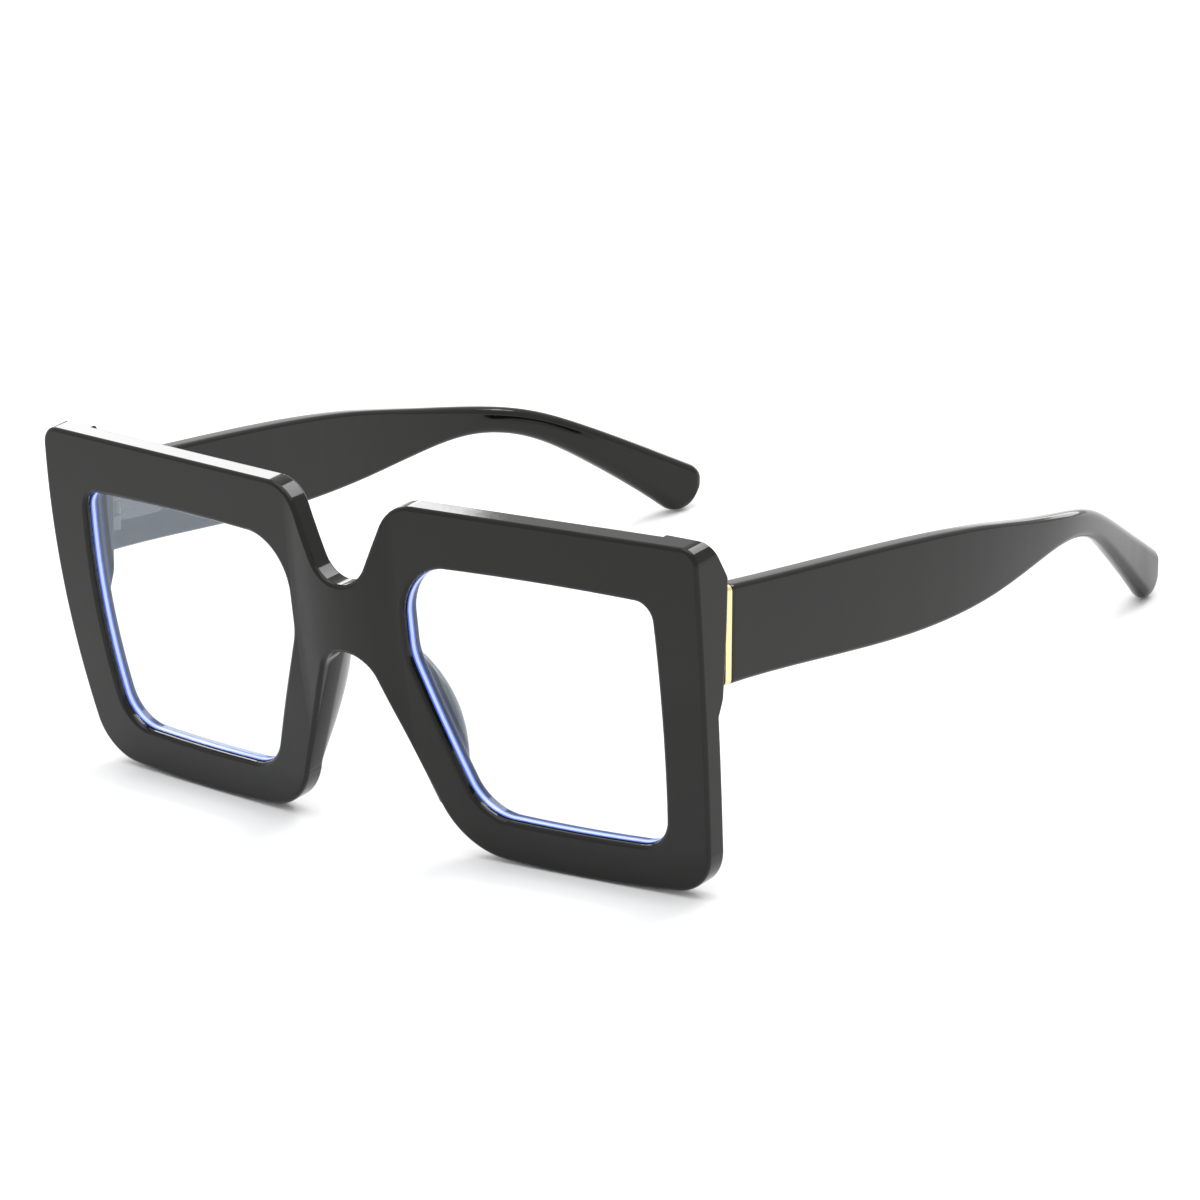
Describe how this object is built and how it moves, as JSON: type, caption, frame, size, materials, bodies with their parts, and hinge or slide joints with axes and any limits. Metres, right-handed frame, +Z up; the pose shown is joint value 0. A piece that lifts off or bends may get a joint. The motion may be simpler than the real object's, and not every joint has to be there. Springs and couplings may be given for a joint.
{
  "type": "blue light glasses",
  "caption": "Oversized square glasses: thick glossy front with V-notch bridge, clear blue-light lenses, wide folding temples with metal end trims.",
  "frame": {"origin": "on the floor under the middle of the open glasses: half way across the face and half way from the bridge to the temple tips", "axes": "+X towards the wearer's left, -Y the way the front looks, +Z up"},
  "size_m": [0.1462, 0.1546, 0.062],
  "materials": {
    "black_frame": "polished",
    "black_pad": "satin",
    "lens": "clear, coated",
    "hinge_steel": "satin",
    "gold_trim": "polished",
    "core_wire": "satin"
  },
  "bodies": {
    "front": {"front_frame": "black_frame", "lens_left": "lens", "lens_right": "lens", "nose_pad_left": "black_pad", "nose_pad_right": "black_pad", "front_hinge_left": "hinge_steel", "front_hinge_right": "hinge_steel", "hinge_screw_left": "hinge_steel", "hinge_screw_right": "hinge_steel"},
    "temple_left": {"temple_left": "black_frame", "temple_trim_left": "gold_trim", "temple_hinge_left": "hinge_steel", "temple_core_left": "core_wire"},
    "temple_right": {"temple_right": "black_frame", "temple_trim_right": "gold_trim", "temple_hinge_right": "hinge_steel", "temple_core_right": "core_wire"}
  },
  "joints": [
    {"name": "temple_left_fold", "type": "hinge", "parent": "front", "child": "temple_left", "pos_m": [0.0664, -0.06232, 0.04533], "axis": [0, 0.1671, 0.9859], "range_deg": [0, 84.8]},
    {"name": "temple_right_fold", "type": "hinge", "parent": "front", "child": "temple_right", "pos_m": [-0.0664, -0.06232, 0.04533], "axis": [0, -0.1671, -0.9859], "range_deg": [0, 48]}
  ]
}
